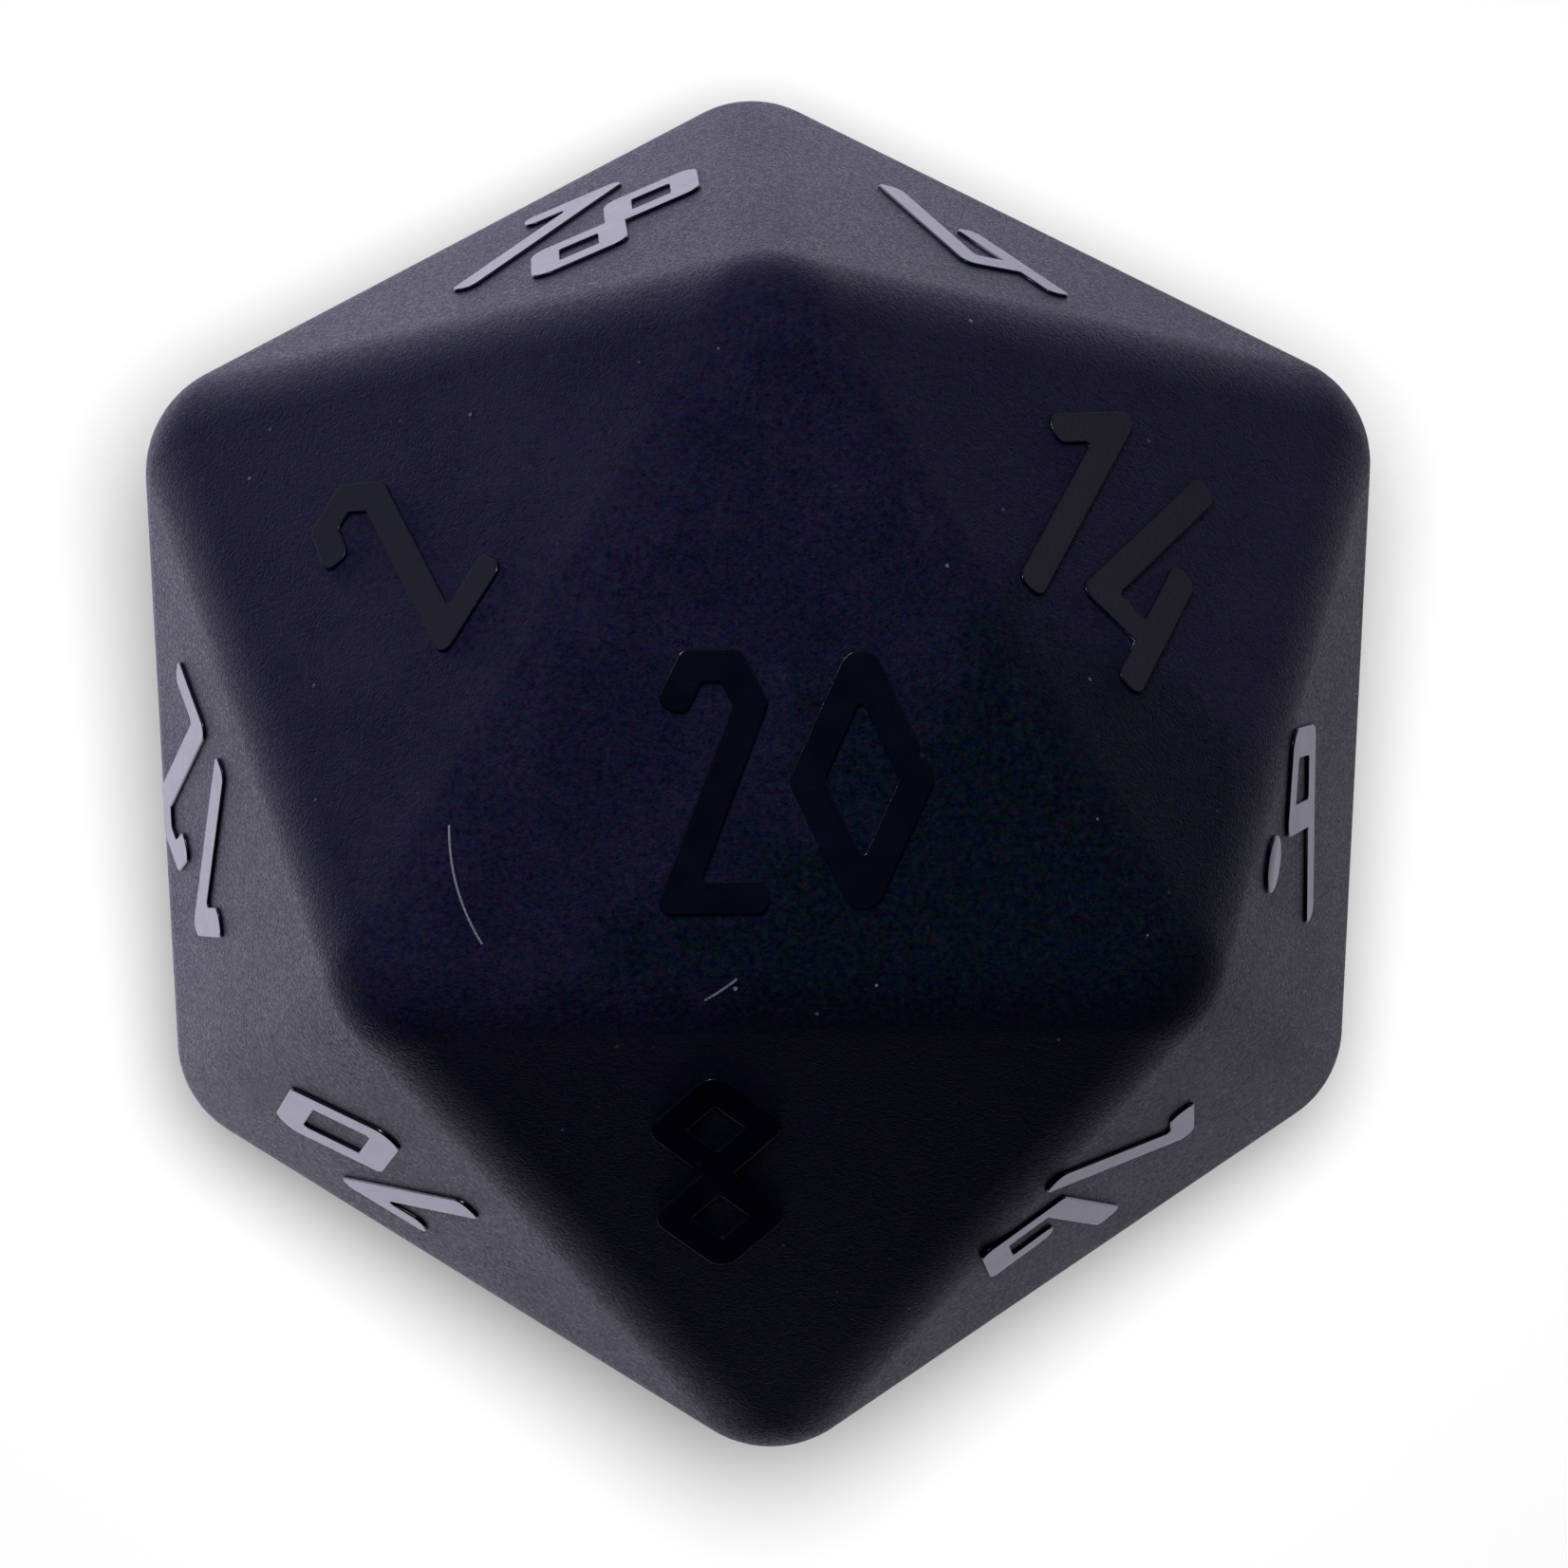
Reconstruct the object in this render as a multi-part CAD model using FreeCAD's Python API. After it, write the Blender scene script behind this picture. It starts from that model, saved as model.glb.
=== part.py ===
"""A twenty-sided die: a solid matte body with rounded edges, and a raised gloss numeral on each face.

Frame: millimetres, +Z up. The die stands on the numeral 1, with 20 on top. The origin is on the surface
that the die stands on, under its centre, and +Y points to the corner that the 20 has as its top.
"""
import FreeCAD, Part

import math
import os

from FreeCAD import Vector

# The body
FACE_TO_FACE = 20.0        # between two opposite faces, without their numerals
EDGE_RADIUS = 1.93         # rounding of every edge and corner

# The numerals
RELIEF = 0.06              # height of a numeral above its face
STROKE_WIDTH = 0.52
CORNER_RADIUS = 0.2        # rounding of the corners of a stroke that stick out, seen from above
RING_RADIUS = 0.34         # rounding of the outer corners of a ring
NOTCH_RADIUS = 0.06        # rounding of the corners that cut in, and of the corners of a hole
DIGIT_PITCH = 2.25         # between the middles of the two digits of a numeral
DOT_RADIUS = 0.48
DOT_PLACE = (2.05, -1.3)   # from the middle of the digit that it marks
UNDERCUT = 0.3             # how deep a digit is first drawn into the body, before the body is cut from it

# An icosahedron's measures, all from its face-to-face size
GOLDEN = (1.0 + math.sqrt(5.0)) / 2.0
INRADIUS = FACE_TO_FACE / 2.0
EDGE = INRADIUS * 2.0 * math.sqrt(3.0) / GOLDEN ** 2
CENTRE_HEIGHT = INRADIUS + RELIEF

# The middle lines of each digit's strokes, in mm from the digit's middle. A stroke whose first point is
# repeated at its end is a closed ring.
DIGITS = {
    "0": [[(0.0, 1.85), (0.86, 0.0), (0.0, -1.85), (-0.86, 0.0), (0.0, 1.85)]],
    "1": [[(-0.55, 0.75), (0.42, 1.85), (0.42, -2.2)]],
    "2": [[(-0.7, 1.1), (-0.36, 1.78), (0.25, 1.78), (0.55, 1.2), (-0.62, -1.8), (0.8, -1.8)]],
    "3": [[(-0.8, 1.9), (0.6, 1.9), (-0.1, 0.45), (0.7, -0.85), (0.1, -1.9), (-0.8, -1.45)]],
    "4": [[(0.1, 2.3), (-0.75, -1.15), (0.5, -1.15)],
          [(0.45, 0.5), (0.45, -2.25)]],
    "5": [[(0.75, 1.9), (-0.45, 1.9), (-0.6, 0.35), (0.35, 0.3), (0.75, -0.8), (0.1, -1.9), (-0.8, -1.55)]],
    "6": [[(-0.8, -1.0), (0.05, -1.95), (0.88, -0.9), (-0.23, 0.25), (-0.8, -1.0)],
          [(0.62, 2.2), (-0.28, 0.15)]],
    "open 6": [[(0.62, 2.2), (-0.8, -1.0), (0.05, -1.95), (0.88, -0.9), (0.12, -0.12)]],
    "7": [[(-0.8, 1.9), (0.7, 1.9), (-0.35, -2.2)]],
    "8": [[(0.0, 1.96), (0.8, 1.03), (0.0, 0.1), (-0.8, 1.03), (0.0, 1.96)],
          [(0.0, -0.1), (0.8, -1.03), (0.0, -1.96), (-0.8, -1.03), (0.0, -0.1)]],
    "9": [[(0.8, 1.0), (-0.05, 1.95), (-0.88, 0.9), (0.23, -0.25), (0.8, 1.0)],
          [(-0.62, -2.2), (0.28, -0.15)]],
    "open 9": [[(-0.62, -2.2), (0.8, 1.0), (-0.05, 1.95), (-0.88, 0.9), (-0.12, 0.12)]],
}

# The 6 of the 16 and the 9 of the 19 have a bowl that stops short of the stem
SPELLED = {16: ["1", "open 6"], 19: ["1", "open 9"]}

# The three corners of each face of the upper half, as places in the list that die_corners() gives.
# The first is the corner that the top of the numeral points to. The face opposite carries 21 less
# the number, and its corners are the opposite ones.
UPPER_FACES = {
    20: (0, 1, 2),
    2: (4, 0, 1),
    14: (3, 2, 0),
    8: (5, 1, 2),
    18: (6, 0, 4),
    4: (6, 3, 0),
    12: (7, 4, 1),
    10: (7, 1, 5),
    16: (8, 5, 2),
    6: (8, 2, 3),
}

# The numerals aren't perfectly placed: how far each sits right and up of the middle of its face, in mm,
# and how many degrees it is turned anticlockwise. A numeral that isn't listed sits in the middle.
PLACING = {
    20: (0.18, -0.37, 0.0),
    2: (-0.1, 0.1, -4.0),
    14: (-0.4, -0.3, 22.0),
    8: (0.95, -0.05, 2.0),
    18: (0.17, 0.42, -9.0),
    4: (-0.25, -0.1, 5.0),
    12: (0.75, 0.4, 2.0),
    10: (0.6, 0.8, 13.0),
    16: (-0.8, -1.15, -3.0),
    6: (0.55, -1.0, 2.0),
}


def ring_of_corners(radius, height, first_angle):
    """Three corners a third of a turn apart, at one height."""
    corners = []
    for step in range(3):
        angle = math.radians(first_angle + 120.0 * step)
        corners.append(Vector(radius * math.cos(angle), radius * math.sin(angle), height))
    return corners


def die_corners():
    """The nine corners of the upper faces, before rounding, with the die's centre at the origin."""
    small = EDGE / math.sqrt(3.0)
    large = GOLDEN * small
    waist = INRADIUS - small
    return (ring_of_corners(small, INRADIUS, 90.0)
            + ring_of_corners(large, waist, 30.0)
            + ring_of_corners(large, -waist, 90.0))


def die_faces():
    """The corners of all twenty faces, by number. The first is the one that the numeral's top points to."""
    corners = die_corners()
    faces = {}
    for number, places in UPPER_FACES.items():
        faces[number] = [corners[place] for place in places]
        faces[21 - number] = [-corners[place] for place in places]
    return faces


def triangle(corners, scale):
    """One flat face of the icosahedron, shrunk towards the die's centre."""
    points = [corner * scale for corner in corners]
    return Part.Face(Part.makePolygon(points + points[:1]))


def die_body():
    """A smaller sharp icosahedron, grown outwards by the edge radius, so that its edges come out round."""
    scale = 1.0 - EDGE_RADIUS / INRADIUS
    shell = Part.makeShell([triangle(corners, scale) for corners in die_faces().values()])
    core = Part.makeSolid(shell)
    if core.Volume < 0:
        core.reverse()
    return core.makeOffsetShape(EDGE_RADIUS, 0.001, join=0)


def offset_corner(before, corner, after, distance):
    """The corner of a line drawn beside a bent stroke, at this distance to its left."""
    into = (corner - before).normalize()
    out = (after - corner).normalize()
    left = Vector(-into.y - out.y, into.x + out.x, 0).normalize()
    half_turn = left.dot(Vector(-into.y, into.x, 0))
    return corner + left * (distance / half_turn)


def offset_line(points, distance, closed):
    """The line beside a whole stroke. An open stroke is cut off square at its ends."""
    result = []
    count = len(points)
    for place, point in enumerate(points):
        before = points[place - 1]
        after = points[(place + 1) % count]
        if not closed and place == 0:
            before = point + (point - after)
        if not closed and place == count - 1:
            after = point + (point - before)
        result.append(offset_corner(before, point, after, distance))
    return result


def rounded_wire(points, radius, notch_radius):
    """A closed outline through the points, with a radius for corners that stick out and one for notches."""
    edges = []
    count = len(points)
    starts = []
    ends = []
    turn_of_outline = sum(points[place - 1].cross(points[place]).z for place in range(count))
    for place, corner in enumerate(points):
        back = (points[place - 1] - corner).normalize()
        ahead = (points[(place + 1) % count] - corner).normalize()
        half_angle = back.getAngle(ahead) / 2.0
        sticks_out = ahead.cross(back).z * turn_of_outline > 0
        corner_radius = radius if sticks_out else notch_radius
        reach = corner_radius / math.tan(half_angle)
        middle = (back + ahead).normalize()
        start = corner + back * reach
        end = corner + ahead * reach
        crest = corner + middle * (corner_radius / math.sin(half_angle) - corner_radius)
        starts.append(start)
        ends.append(end)
        edges.append(Part.Arc(start, crest, end).toShape())
        if place > 0:
            edges.append(Part.makeLine(ends[place - 1], start))
    edges.append(Part.makeLine(ends[-1], starts[0]))
    return Part.Wire(Part.sortEdges(edges)[0])


def stroke_solid(places):
    """One stroke of a digit as a flat bar of even width that follows its middle line."""
    points = [Vector(x, y, -UNDERCUT) for x, y in places]
    half_width = STROKE_WIDTH / 2.0
    upwards = Vector(0, 0, UNDERCUT + RELIEF)
    if places[0] != places[-1]:
        left = offset_line(points, half_width, False)
        right = offset_line(points, -half_width, False)
        outline = rounded_wire(left + right[::-1], CORNER_RADIUS, NOTCH_RADIUS)
        return Part.Face(outline).extrude(upwards)
    sides = [offset_line(points[:-1], side * half_width, True) for side in (1.0, -1.0)]
    hole_points, outer_points = sorted(sides, key=lambda side: max(point.Length for point in side))
    outer = Part.Face(rounded_wire(outer_points, RING_RADIUS, NOTCH_RADIUS)).extrude(upwards)
    hole = Part.Face(rounded_wire(hole_points, NOTCH_RADIUS, NOTCH_RADIUS)).extrude(upwards)
    return outer.cut(hole)


def digit_solid(digit):
    """All the strokes of one digit, joined."""
    strokes = [stroke_solid(places) for places in DIGITS[digit]]
    if len(strokes) == 1:
        return strokes[0]
    return strokes[0].multiFuse(strokes[1:]).removeSplitter()


def numeral_solids(number):
    """The digits of a number side by side, and the dot beside a 6 or a 9."""
    digits = SPELLED.get(number, list(str(number)))
    first = -DIGIT_PITCH * (len(digits) - 1) / 2.0
    solids = []
    for place, digit in enumerate(digits):
        solid = digit_solid(digit)
        solid.translate(Vector(first + DIGIT_PITCH * place, 0, 0))
        solids.append(solid)
    if number in (6, 9):
        dot_base = Vector(DOT_PLACE[0], DOT_PLACE[1], -UNDERCUT)
        solids.append(Part.makeCylinder(DOT_RADIUS, UNDERCUT + RELIEF, dot_base))
    return solids


def face_placement(corners, right_shift, up_shift, turn):
    """The frame of a numeral on its face: X to its right, Y to its top and Z out of the face."""
    middle = (corners[0] + corners[1] + corners[2]) * (1.0 / 3.0)
    outward = Vector(middle).normalize()
    up = (corners[0] - middle).normalize()
    right = up.cross(outward)
    matrix = FreeCAD.Matrix(right.x, up.x, outward.x, middle.x,
                            right.y, up.y, outward.y, middle.y,
                            right.z, up.z, outward.z, middle.z,
                            0, 0, 0, 1)
    on_face = FreeCAD.Placement(Vector(right_shift, up_shift, 0), FreeCAD.Rotation(Vector(0, 0, 1), turn))
    return FreeCAD.Placement(matrix).multiply(on_face)


def numeral(number, corners, body):
    """One raised numeral. The body is cut from it, so it lies on the face and follows it everywhere."""
    right_shift, up_shift, turn = PLACING.get(number, (0.0, 0.0, 0.0))
    placement = face_placement(corners, right_shift, up_shift, turn)
    solids = []
    for solid in numeral_solids(number):
        solid.Placement = placement.multiply(solid.Placement)
        solids.extend(solid.cut(body).Solids)
    return Part.makeCompound(solids)


def export(shape, name):
    """Stand the piece on the surface and write it to its own file."""
    placed = shape.copy()
    placed.translate(Vector(0, 0, CENTRE_HEIGHT))
    placed.exportStep("parts/" + name + ".step")


os.makedirs("parts", exist_ok=True)
body_shape = die_body()
export(body_shape, "die_body")
for face_number, face_corners in sorted(die_faces().items()):
    export(numeral(face_number, face_corners, body_shape), f"numeral_{face_number:02d}")
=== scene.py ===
"""A twenty-sided die in matte black, with a raised gloss black numeral on each face.

The piece stands on its numeral 1 with the 20 on top. Metres, +Z up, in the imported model's own frame.
"""
import math

import bpy
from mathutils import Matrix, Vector


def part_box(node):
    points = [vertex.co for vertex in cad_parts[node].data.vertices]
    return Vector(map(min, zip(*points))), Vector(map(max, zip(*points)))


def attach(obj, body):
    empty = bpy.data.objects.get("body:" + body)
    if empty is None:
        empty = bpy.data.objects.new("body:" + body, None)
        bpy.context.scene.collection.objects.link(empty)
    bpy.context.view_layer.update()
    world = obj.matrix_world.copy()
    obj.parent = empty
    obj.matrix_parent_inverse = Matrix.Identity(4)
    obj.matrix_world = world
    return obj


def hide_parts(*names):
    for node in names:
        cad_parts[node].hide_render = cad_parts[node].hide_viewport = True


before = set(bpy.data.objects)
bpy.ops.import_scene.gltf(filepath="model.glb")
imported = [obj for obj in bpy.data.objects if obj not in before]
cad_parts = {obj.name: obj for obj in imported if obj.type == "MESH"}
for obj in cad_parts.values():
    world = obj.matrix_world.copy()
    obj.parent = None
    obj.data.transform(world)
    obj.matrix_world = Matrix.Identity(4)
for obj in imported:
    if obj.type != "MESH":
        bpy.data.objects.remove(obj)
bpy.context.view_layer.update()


# ---- The body -----------------------------------------------------------------------------------------
# One solid icosahedron of black resin, the same all the way through so that it rolls fair. Its edges and
# corners are tumbled to one broad radius, and its faces are blasted to a fine, even matte.

edge_rounding = 0.00193
rounding_segments = 12

body_low, body_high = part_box("die_body")
die_centre = (body_low + body_high) / 2
inradius = (body_high.z - body_low.z) / 2
golden = (1 + math.sqrt(5)) / 2
edge_length = inradius * 2 * math.sqrt(3) / golden ** 2
corner_radius = edge_length * math.sin(math.radians(72))


def only(piece):
    """Select one object and nothing else."""
    bpy.ops.object.select_all(action="DESELECT")
    piece.select_set(True)
    bpy.context.view_layer.objects.active = piece


def sharp_icosahedron(name, radius):
    """An icosahedron with a face on top, and a corner of that face towards +Y."""
    bpy.ops.object.select_all(action="DESELECT")
    face_up = math.acos(inradius / corner_radius)
    bpy.ops.mesh.primitive_ico_sphere_add(subdivisions=1, radius=radius, location=die_centre,
                                          rotation=(0, face_up, math.radians(90)))
    bpy.ops.object.transform_apply(location=True, rotation=True, scale=True)
    solid = bpy.context.object
    solid.name = name
    return solid


def settle_normals(piece):
    """Smooth shading that keeps the large flats flat."""
    only(piece)
    bpy.ops.object.modifier_add(type="WEIGHTED_NORMAL")
    weigh = piece.modifiers[-1]
    weigh.keep_sharp = True
    weigh.weight = 100
    bpy.ops.object.modifier_apply(modifier=weigh.name)


# The edges are cut back first. Every point is then set one edge radius away from a smaller sharp core,
# which makes each edge a true part of a cylinder and each corner a true part of a ball.
core = sharp_icosahedron("sharp_core", corner_radius * (1 - edge_rounding / inradius))
body = sharp_icosahedron("matte_body", corner_radius)
bpy.ops.object.mode_set(mode="EDIT")
bpy.ops.mesh.select_all(action="SELECT")
half_turn = math.radians(90) - math.asin(golden / math.sqrt(3))
bpy.ops.mesh.bevel(offset_type="OFFSET", offset=edge_rounding * math.tan(half_turn),
                   segments=rounding_segments, profile=0.5, affect="EDGES")
bpy.ops.object.mode_set(mode="OBJECT")
bpy.ops.object.modifier_add(type="SHRINKWRAP")
wrap = body.modifiers[-1]
wrap.target = core
wrap.wrap_method = "NEAREST_SURFACEPOINT"
wrap.wrap_mode = "ON_SURFACE"
wrap.offset = edge_rounding
bpy.ops.object.modifier_apply(modifier=wrap.name)
bpy.data.objects.remove(core)
only(body)
bpy.ops.object.shade_smooth()
settle_normals(body)


def add_node(tree, kind, place, **settings):
    """A shader node at a place in the tree, with plain settings and socket values by name."""
    node = tree.nodes.new(kind)
    node.location = place
    for name, value in settings.items():
        if hasattr(node, name):
            setattr(node, name, value)
        else:
            node.inputs[name.replace("_", " ")].default_value = value
    return node


def feed(tree, socket, value):
    """Link a socket to another one, or set it to a plain number, vector or colour."""
    if isinstance(value, bpy.types.NodeSocket):
        tree.links.new(value, socket)
    elif socket.type == "RGBA":
        socket.default_value = (*value, 1.0)
    else:
        socket.default_value = value


def maths(tree, place, operation, *values):
    """A Math node, with its inputs as sockets or plain numbers."""
    node = add_node(tree, "ShaderNodeMath", place, operation=operation)
    for slot, value in enumerate(values):
        feed(tree, node.inputs[slot], value)
    return node.outputs[0]


def vector_maths(tree, place, operation, *values):
    """A Vector Math node, with its inputs as sockets or plain vectors."""
    node = add_node(tree, "ShaderNodeVectorMath", place, operation=operation)
    for slot, value in enumerate(values):
        feed(tree, node.inputs[slot], value)
    return node.outputs["Value" if operation in ("DOT_PRODUCT", "LENGTH") else "Vector"]


def position(tree, place):
    """The point on the piece, in metres."""
    return add_node(tree, "ShaderNodeTexCoord", place).outputs["Object"]


def split(tree, place, vector):
    """The three parts of a vector, by name."""
    node = add_node(tree, "ShaderNodeSeparateXYZ", place)
    feed(tree, node.inputs[0], vector)
    return node.outputs


def noise_node(tree, place, scale, detail, roughness):
    """Noise on the piece, with its scale in bumps a metre."""
    node = add_node(tree, "ShaderNodeTexNoise", place, Detail=detail, Roughness=roughness)
    feed(tree, node.inputs["Scale"], scale)
    feed(tree, node.inputs["Vector"], position(tree, (place[0] - 200, place[1])))
    return node


def noise(tree, place, scale, detail=2.0, roughness=0.5):
    """The value of such noise, around a half."""
    return noise_node(tree, place, scale, detail, roughness).outputs["Fac"]


def ramp(tree, place, value, low, high):
    """The value stretched from low..high to 0..1, eased at both ends."""
    node = add_node(tree, "ShaderNodeMapRange", place, interpolation_type="SMOOTHSTEP")
    feed(tree, node.inputs["Value"], value)
    feed(tree, node.inputs["From Min"], low)
    feed(tree, node.inputs["From Max"], high)
    return node.outputs["Result"]


def blend(tree, place, factor, first, second):
    """A colour mix, with each colour a socket or three numbers."""
    node = add_node(tree, "ShaderNodeMix", place, data_type="RGBA")
    feed(tree, node.inputs["Factor"], factor)
    colour_slots = [socket for socket in node.inputs if socket.type == "RGBA"]
    feed(tree, colour_slots[0], first)
    feed(tree, colour_slots[1], second)
    return [socket for socket in node.outputs if socket.type == "RGBA"][0]


def dented(tree, place, height, strength, depth):
    """The normal of a surface that is dented by a value."""
    bump = add_node(tree, "ShaderNodeBump", place, Strength=strength, Distance=depth)
    feed(tree, bump.inputs["Height"], height)
    return bump.outputs["Normal"]


def new_material(name, **values):
    """A material, its tree and its Principled shader, with plain values for the shader's own sockets."""
    material = bpy.data.materials.new(name)
    material.use_nodes = True
    shader = material.node_tree.nodes["Principled BSDF"]
    for socket, value in values.items():
        feed(material.node_tree, shader.inputs[socket.replace("_", " ")], value)
    return material, material.node_tree, shader


def new_group(name, inputs, outputs):
    """An empty node group, with plain inputs by name and outputs by name and kind."""
    tree = bpy.data.node_groups.new(name, "ShaderNodeTree")
    for socket, value in inputs.items():
        made = tree.interface.new_socket(socket, in_out="INPUT", socket_type="NodeSocketFloat")
        made.default_value = value
    for socket, kind in outputs.items():
        tree.interface.new_socket(socket, in_out="OUTPUT", socket_type="NodeSocket" + kind)
    return (tree, add_node(tree, "NodeGroupInput", (-900, 0)).outputs,
            add_node(tree, "NodeGroupOutput", (700, 0)).inputs)


def place_group(tree, group, place, **values):
    """The outputs of a shared effect in a material, with its own values."""
    return add_node(tree, "ShaderNodeGroup", place, node_tree=group, **values).outputs


# Fine grain: the blasted skin. It gives a value around a half that changes every few hundredths of a mm,
# and a colour around mid grey that changes with it.
finer = 2.3
grain_group, given, result = new_group(
    "blasted_grain", {"Scale": 9500.0}, {"Grain": "Float", "Speckle": "Color"})
coarse = noise_node(grain_group, (-500, 200), given["Scale"], 4.0, 0.8)
fine_scale = maths(grain_group, (-700, -200), "MULTIPLY", given["Scale"], finer)
fine = noise(grain_group, (-500, -200), fine_scale, 1.0)
both = maths(grain_group, (-100, 0), "ADD", coarse.outputs["Fac"], fine)
feed(grain_group, result["Grain"], maths(grain_group, (100, 0), "MULTIPLY", both, 0.5))
feed(grain_group, result["Speckle"], coarse.outputs["Color"])

# Dust: a share of the cells of a Voronoi pattern hold a speck, each of its own size and most of them faint.
smallest_speck = 0.02
speck_range = 0.07
faintness = 2.0
dust_group, given, result = new_group("dust_specks", {"Scale": 2300.0, "Share": 0.5}, {"Mask": "Float"})
cells = add_node(dust_group, "ShaderNodeTexVoronoi", (-500, 0), feature="F1")
feed(dust_group, cells.inputs["Vector"], position(dust_group, (-900, -300)))
feed(dust_group, cells.inputs["Scale"], given["Scale"])
cell_values = add_node(dust_group, "ShaderNodeSeparateColor", (-300, -200))
feed(dust_group, cell_values.inputs["Color"], cells.outputs["Color"])
held = maths(dust_group, (-100, -200), "LESS_THAN", cell_values.outputs["Red"], given["Share"])
speck_size = maths(dust_group, (-100, -400), "MULTIPLY_ADD", cell_values.outputs["Green"], speck_range,
                   smallest_speck)
speck_strength = maths(dust_group, (-100, -600), "POWER", cell_values.outputs["Blue"], faintness)
near = maths(dust_group, (100, 0), "LESS_THAN", cells.outputs["Distance"], speck_size)
visible = maths(dust_group, (300, -300), "MULTIPLY", held, speck_strength)
feed(dust_group, result["Mask"], maths(dust_group, (500, 0), "MULTIPLY", near, visible))

# Lint: one short, slightly bent fibre that lies on the upper half of the die, at a place seen from above.
# The mask is 1 on the fibre. The angle turns the fibre's own direction onto X.
fibre_width = 0.000034
fibre_bend = 150.0
lint_group, given, result = new_group(
    "lint_fibre", {"Across": 0.0, "Up": 0.0, "Angle": 0.0, "Length": 0.001}, {"Mask": "Float"})
fibre_centre = add_node(lint_group, "ShaderNodeCombineXYZ", (-700, -100))
feed(lint_group, fibre_centre.inputs["X"], given["Across"])
feed(lint_group, fibre_centre.inputs["Y"], given["Up"])
from_centre = vector_maths(lint_group, (-500, 200), "SUBTRACT", position(lint_group, (-900, 300)),
                           fibre_centre.outputs[0])
turned = add_node(lint_group, "ShaderNodeVectorRotate", (-300, 200), rotation_type="Z_AXIS")
feed(lint_group, turned.inputs["Vector"], from_centre)
feed(lint_group, turned.inputs["Angle"], given["Angle"])
along = split(lint_group, (-100, 200), turned.outputs[0])
squared = maths(lint_group, (100, 300), "MULTIPLY", along["X"], along["X"])
straightened = maths(lint_group, (100, 100), "MULTIPLY_ADD", squared, -fibre_bend, along["Y"])
thin = maths(lint_group, (300, 100), "COMPARE", straightened, 0.0, fibre_width / 2)
half_length = maths(lint_group, (100, -100), "MULTIPLY", given["Length"], 0.5)
short = maths(lint_group, (300, -100), "COMPARE", along["X"], 0.0, half_length)
above = maths(lint_group, (300, -300), "GREATER_THAN", along["Z"], die_centre.z)
on_top = maths(lint_group, (500, -200), "MULTIPLY", short, above)
feed(lint_group, result["Mask"], maths(lint_group, (600, 0), "MULTIPLY", thin, on_top))

# The black isn't even. It clouds at random between indigo and violet. Over that lies painted shade: the
# colour turns a darker teal on the lower right of the 20's face, away from the key light, and a darker deep
# blue at the 8, which faces away from the key light. The lean is measured along a slanting direction, and its
# border is made patchy by noise.
indigo = (0.0050, 0.0048, 0.0175)
violet = (0.0078, 0.0068, 0.0215)
painted_shade_teal = (0.0015, 0.0035, 0.0080)
painted_shade_blue = (0.0001, 0.0012, 0.0100)
dust_and_lint = (0.13, 0.13, 0.15)
cloud_scale = 420.0
cloud_begins, cloud_full = 0.36, 0.64
patch_scale = 480.0
patch_reach = 0.005
# Where the painted shade falls: on the side away from the key light, towards the lower right and the 8.
teal_direction = (0.5, -0.35, 1.4)
teal_begins, teal_full = 0.0301, 0.0317
blue_begins, blue_full = -0.003, -0.0065

# Each grain is lighter or darker than the next, with a tint and a roughness of its own.
skin_grain_scale = 9500.0
dust_scale = 2300.0
grain_contrast = 2.4
darkest_grain = 1 - grain_contrast / 2
speckle_strength = (0.028, 0.030, 0.046)
grain_low, grain_high = 0.35, 0.65
smoothest = 0.25
roughness_of_grain = 0.3
roughness_of_handling = 0.12
handling_scale = 420.0

# Each fibre's place to the right and up, its direction in degrees and its length.
fibres = ((-0.00495, -0.00195, -75, 0.0019), (-0.0009, -0.0036, 33, 0.0006))

matte, tree, skin = new_material("matte_black_resin", Specular_IOR_Level=0.2, Sheen_Weight=0.03,
                                 Sheen_Roughness=0.5, Sheen_Tint=(0.72, 0.68, 1.0))
grains = place_group(tree, grain_group, (-900, 0), Scale=skin_grain_scale)
dirt = place_group(tree, dust_group, (-900, -300), Scale=dust_scale, Share=0.5)["Mask"]
for row, (right, up, direction, length) in enumerate(fibres):
    fibre = place_group(tree, lint_group, (-900, 1400 + 200 * row), Across=right, Up=up,
                        Angle=math.radians(-direction), Length=length)
    dirt = maths(tree, (-600, 1400 + 200 * row), "MAXIMUM", dirt, fibre["Mask"])

point = position(tree, (-1500, 1000))
cloud = ramp(tree, (-700, 500), noise(tree, (-900, 500), cloud_scale, 5.0, 0.7), cloud_begins,
             cloud_full)
lean = vector_maths(tree, (-1300, 1000), "DOT_PRODUCT", point, teal_direction)
patches = noise(tree, (-1100, 800), patch_scale, 5.0, 0.7)
patchy_lean = maths(tree, (-900, 1000), "MULTIPLY_ADD", patches, patch_reach, lean)
# Painted shade: the shares of teal and deep blue darken the parts that face away from the key light.
teal_share = ramp(tree, (-700, 800), patchy_lean, teal_begins, teal_full)
blue_share = ramp(tree, (-1100, 1200), split(tree, (-1300, 1200), point)["Y"], blue_begins, blue_full)
clouded = blend(tree, (-450, 500), cloud, indigo, violet)
with_teal = blend(tree, (-250, 600), teal_share, clouded, painted_shade_teal)
with_blue = blend(tree, (-150, 700), blue_share, with_teal, painted_shade_blue)

grain_light = maths(tree, (-450, 100), "MULTIPLY_ADD", grains["Grain"], grain_contrast, darkest_grain)
lit = vector_maths(tree, (-50, 400), "MULTIPLY", with_blue, grain_light)
speckle = vector_maths(tree, (-450, 250), "MULTIPLY_ADD", grains["Speckle"], speckle_strength,
                       tuple(-strength / 2 for strength in speckle_strength))
speckled = vector_maths(tree, (50, 500), "ADD", lit, speckle)
feed(tree, skin.inputs["Base Color"], blend(tree, (250, 300), dirt, speckled, dust_and_lint))

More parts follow.
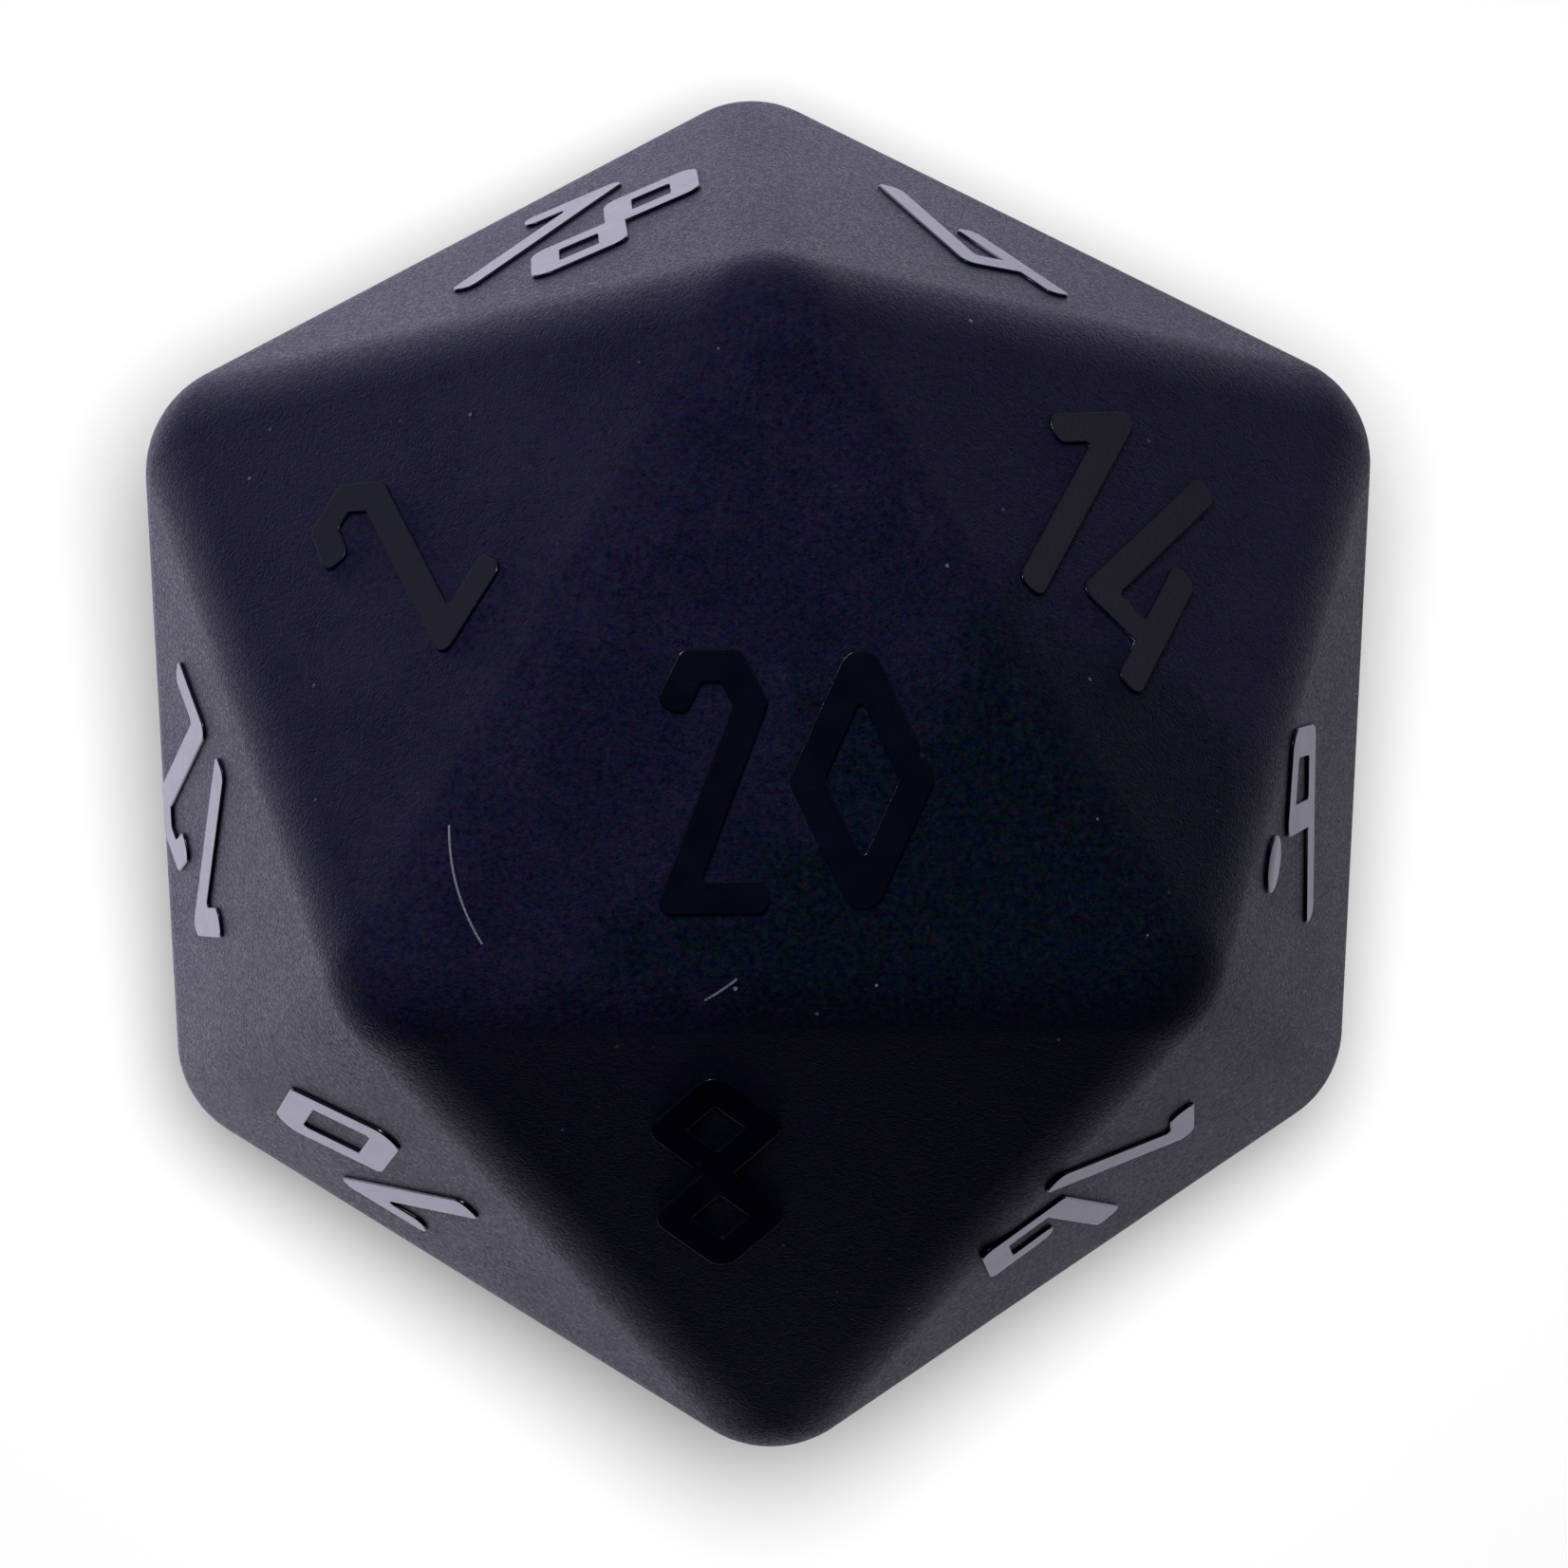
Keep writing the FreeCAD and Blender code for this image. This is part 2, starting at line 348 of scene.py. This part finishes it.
handled = noise(tree, (-900, -600), handling_scale, 4.0, 0.6)
rough = maths(tree, (-450, -500), "MULTIPLY_ADD", handled, roughness_of_handling, smoothest)
spread = ramp(tree, (-650, -700), grains["Grain"], grain_low, grain_high)
feed(tree, skin.inputs["Roughness"],
     maths(tree, (-250, -500), "MULTIPLY_ADD", spread, roughness_of_grain, rough))
feed(tree, skin.inputs["Normal"], dented(tree, (-50, -200), grains["Grain"], 0.8, 0.00006))

body.data.materials.clear()
body.data.materials.append(matte)
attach(body, "root")
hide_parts("die_body")


# ---- The numerals -------------------------------------------------------------------------------------
# Twenty gloss black numerals, one on each face, that stand a little proud of the matte skin. Each follows
# its CAD piece, with a softened rim where the layer's top turns down into its walls.

relief = body_low.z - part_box("numeral_01")[0].z
rim_softening = 0.00003
rim_segments = 3
same_point = 0.000001
flat_angle = math.radians(1)
wall_angle = math.radians(60)
smooth_angle = math.radians(50)

darker_ink = (0.0008, 0.0015, 0.0046)
lighter_ink = (0.0012, 0.0019, 0.0064)
dust_on_gloss = (0.08, 0.08, 0.1)
gloss_grain_scale = 7000.0
flow_scale = 1800.0
flow_low, flow_high = 0.35, 0.65
glossiest = 0.19
roughness_of_flow = 0.1

gloss, tree, enamel = new_material("gloss_black_numeral", Specular_IOR_Level=0.4, Coat_Weight=0.3,
                                   Coat_Roughness=0.2)
grain = place_group(tree, grain_group, (-900, 0), Scale=gloss_grain_scale)["Grain"]
dust = place_group(tree, dust_group, (-900, -300), Scale=dust_scale, Share=0.2)["Mask"]
flow = noise(tree, (-900, 400), flow_scale)
ink = blend(tree, (-450, 400), ramp(tree, (-700, 400), flow, flow_low, flow_high), darker_ink,
            lighter_ink)
feed(tree, enamel.inputs["Base Color"], blend(tree, (-200, 300), dust, ink, dust_on_gloss))
feed(tree, enamel.inputs["Roughness"],
     maths(tree, (-450, -100), "MULTIPLY_ADD", flow, roughness_of_flow, glossiest))
feed(tree, enamel.inputs["Normal"], dented(tree, (-200, -200), grain, 0.3, 0.00003))


def soften_rim(piece):
    """Round the edges between the top of a raised layer and its walls, and leave its foot sharp."""
    only(piece)
    mesh = piece.data
    bpy.ops.object.mode_set(mode="EDIT")
    bpy.ops.mesh.select_mode(type="EDGE")
    bpy.ops.mesh.select_all(action="SELECT")
    bpy.ops.mesh.remove_doubles(threshold=same_point)
    bpy.ops.mesh.dissolve_limited(angle_limit=flat_angle)
    bpy.ops.mesh.select_all(action="DESELECT")
    bpy.ops.mesh.edges_select_sharp(sharpness=wall_angle)
    bpy.ops.object.mode_set(mode="OBJECT")
    outward = max(mesh.polygons, key=lambda face: face.area).normal.copy()
    if outward.dot(mesh.vertices[0].co - die_centre) < 0:
        outward.negate()
    heights = [outward.dot(vertex.co - die_centre) - inradius for vertex in mesh.vertices]
    sharp = [edge.select for edge in mesh.edges]
    mesh.polygons.foreach_set("select", [False] * len(mesh.polygons))
    mesh.vertices.foreach_set("select", [False] * len(mesh.vertices))
    for edge, is_sharp in zip(mesh.edges, sharp):
        edge.select = is_sharp and min(heights[corner] for corner in edge.vertices) > relief / 2
    bpy.ops.object.mode_set(mode="EDIT")
    bpy.ops.mesh.bevel(offset_type="OFFSET", offset=rim_softening, segments=rim_segments,
                       profile=0.5, affect="EDGES", clamp_overlap=False)
    bpy.ops.object.mode_set(mode="OBJECT")
    bpy.ops.object.shade_smooth_by_angle(angle=smooth_angle)


numerals = []
for number in range(1, 21):
    node = f"numeral_{number:02d}"
    numeral = bpy.data.objects.new(f"gloss_{node}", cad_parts[node].data.copy())
    bpy.context.scene.collection.objects.link(numeral)
    soften_rim(numeral)
    settle_normals(numeral)
    numeral.data.materials.clear()
    numeral.data.materials.append(gloss)
    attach(numeral, "root")
    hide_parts(node)
    numerals.append(numeral)


# ---- The table ----------------------------------------------------------------------------------------
# A plain white table. To the camera it is one even white that glows a little further out, so it stays white
# to the edge. To the die its colour holds a painted pool of light: bright close by, most so on the key
# light's side, and painted dark beyond, with a glow far behind.

near_radius, far_radius = 0.025, 0.044
glow_begins, glow_full = 0.02, 0.13
shown_white = 0.366
shown_glow = 0.8
back_begins, back_full = 0.03, 0.15
back_glow = 0.18
key_side = (-0.9, 0.43, 0.0)
side_reach = 0.02
painted_dim_side = (0.19, 0.184, 0.227)
painted_light_side = (0.48, 0.465, 0.575)
far_table = (0.02, 0.02, 0.023)

bpy.ops.object.select_all(action="DESELECT")
bpy.ops.mesh.primitive_plane_add(size=4.0, location=(0, 0, 0))
floor = bpy.context.object
floor.name = "table_top"
white, tree, board = new_material("white_table", Roughness=0.9, Specular_IOR_Level=0.0,
                                  Emission_Color=(0.95, 0.95, 0.96))
to_camera = add_node(tree, "ShaderNodeLightPath", (-900, 600)).outputs["Is Camera Ray"]
spot = position(tree, (-1300, 0))
distance = vector_maths(tree, (-1100, -200), "LENGTH", spot)
# Painted light: the colour the die sees is brighter towards the key light and falls off to dark further out.
across = vector_maths(tree, (-1100, 200), "DOT_PRODUCT", spot, key_side)
towards_key = ramp(tree, (-900, 200), across, -side_reach, side_reach)
beside = blend(tree, (-700, 200), towards_key, painted_dim_side, painted_light_side)
beyond = ramp(tree, (-900, 0), distance, near_radius, far_radius)
around = blend(tree, (-500, 200), beyond, beside, far_table)
feed(tree, board.inputs["Base Color"],
     blend(tree, (-300, 300), to_camera, around, (shown_white, shown_white, shown_white)))

far = ramp(tree, (-700, -200), distance, glow_begins, glow_full)
far_and_seen = maths(tree, (-500, -200), "MULTIPLY", far, to_camera)
seen_glow = maths(tree, (-300, -200), "MULTIPLY", far_and_seen, shown_glow)
behind = ramp(tree, (-900, -500), split(tree, (-1100, -500), spot)["Y"], back_begins, back_full)
to_die = maths(tree, (-700, -500), "SUBTRACT", 1.0, to_camera)
behind_unseen = maths(tree, (-500, -500), "MULTIPLY", behind, to_die)
feed(tree, board.inputs["Emission Strength"],
     maths(tree, (-100, -300), "MULTIPLY_ADD", behind_unseen, back_glow, seen_glow))
floor.data.materials.append(white)


# ---- The lamps and the studio -------------------------------------------------------------------------
# A key light from the upper left and a faint light overhead for the body, small lamps that the numerals
# mirror, and two overhead lamps for the table only. The studio is dark, with a glow low down at the back.

key_place = (-0.145, 0.287, 0.383)
key_colour = (0.97, 0.96, 1.0)
top_place = (0.0, 0.01, 0.35)
top_colour = (0.40, 0.62, 1.0)
rim_place = (-0.18, 0.25, 0.383)
rim_colour = (1.0, 0.98, 1.0)
horizon_reach = 0.386
horizon_back = 0.23
horizon_height = 0.018
horizon_colour = (0.78, 0.72, 1.0)
wash_place = (-0.0007, 0.0035, 0.0765)
fill_place = (0.0, 0.0, 0.25)
plain_white = (1.0, 1.0, 1.0)


def soft_light(name, place, size, power, colour, lit_pieces, mirrored):
    """A round soft box aimed at the die, for these pieces only. Mirrored says if they show its reflection."""
    light = bpy.data.lights.new(name, "AREA")
    light.shape = "DISK"
    light.size = size
    light.energy = power
    light.color = colour
    lamp = bpy.data.objects.new(name, light)
    bpy.context.scene.collection.objects.link(lamp)
    lamp.location = Vector(place) + die_centre
    lamp.rotation_euler = (-Vector(place)).to_track_quat("-Z", "Y").to_euler()
    lamp.visible_glossy = mirrored
    lamp.visible_camera = False
    receivers = bpy.data.collections.new(name + "_receivers")
    for piece in lit_pieces:
        receivers.objects.link(piece)
    lamp.light_linking.receiver_collection = receivers


soft_light("key_light", key_place, 0.30, 3.2, key_colour, [body, *numerals], False)
soft_light("top_light", top_place, 0.05, 0.058, top_colour, [body], True)
soft_light("rim_light", rim_place, 0.10, 0.7, rim_colour, numerals, True)
for name, reach in (("left_horizon", -horizon_reach), ("right_horizon", horizon_reach)):
    soft_light(name, (reach, horizon_back, horizon_height), 0.15, 0.009, horizon_colour, numerals, True)
soft_light("table_wash", wash_place, 0.0245, 0.195, plain_white, [floor], False)
soft_light("table_fill", fill_place, 0.28, 0.36, plain_white, [floor], False)

sky_colour = (0.80, 0.70, 1.0)
glow_height = 0.55
back_direction = (0.05, 1.0, 0.0)
back_width = 0.7
back_strength = 0.30
darkest = 0.002
seen_sky = 0.8

world = bpy.data.worlds.new("studio")
bpy.context.scene.world = world
world.use_nodes = True
tree = world.node_tree
sky = tree.nodes["Background"]
direction = add_node(tree, "ShaderNodeTexCoord", (-1200, 0)).outputs["Generated"]
low_sky = ramp(tree, (-700, 200), split(tree, (-1000, 0), direction)["Z"], glow_height, 0.0)
side = vector_maths(tree, (-1000, -300), "DOT_PRODUCT", direction, back_direction)
at_back = ramp(tree, (-700, -300), side, -back_width, back_width)
strength = maths(tree, (-400, 0), "MULTIPLY", at_back, back_strength)
glow = maths(tree, (-200, 0), "MULTIPLY_ADD", low_sky, strength, darkest)
seen = add_node(tree, "ShaderNodeLightPath", (-400, 400)).outputs["Is Camera Ray"]
seen_light = maths(tree, (-200, 300), "MULTIPLY", seen, seen_sky)
feed(tree, sky.inputs["Color"], sky_colour)
feed(tree, sky.inputs["Strength"], maths(tree, (0, 200), "MAXIMUM", glow, seen_light))
bpy.context.scene.view_settings.view_transform = "Standard"


# ---- The camera ---------------------------------------------------------------------------------------
# It looks almost straight down on the 20 from close by, so the faces around it and the six around the waist
# show at a slant.

camera_place = (-0.00187, -0.0001, 0.07647)
camera_turn_degrees = (-0.26, -1.705, -0.697)
lens_data = bpy.data.cameras.new("camera")
lens_data.sensor_width = 36.0
lens_data.lens = 99.03
lens_data.clip_start = 0.005
lens_data.dof.use_dof = False
camera = bpy.data.objects.new("camera", lens_data)
bpy.context.scene.collection.objects.link(camera)
camera.location = die_centre + Vector(camera_place)
camera.rotation_euler = [math.radians(angle) for angle in camera_turn_degrees]
bpy.context.scene.camera = camera
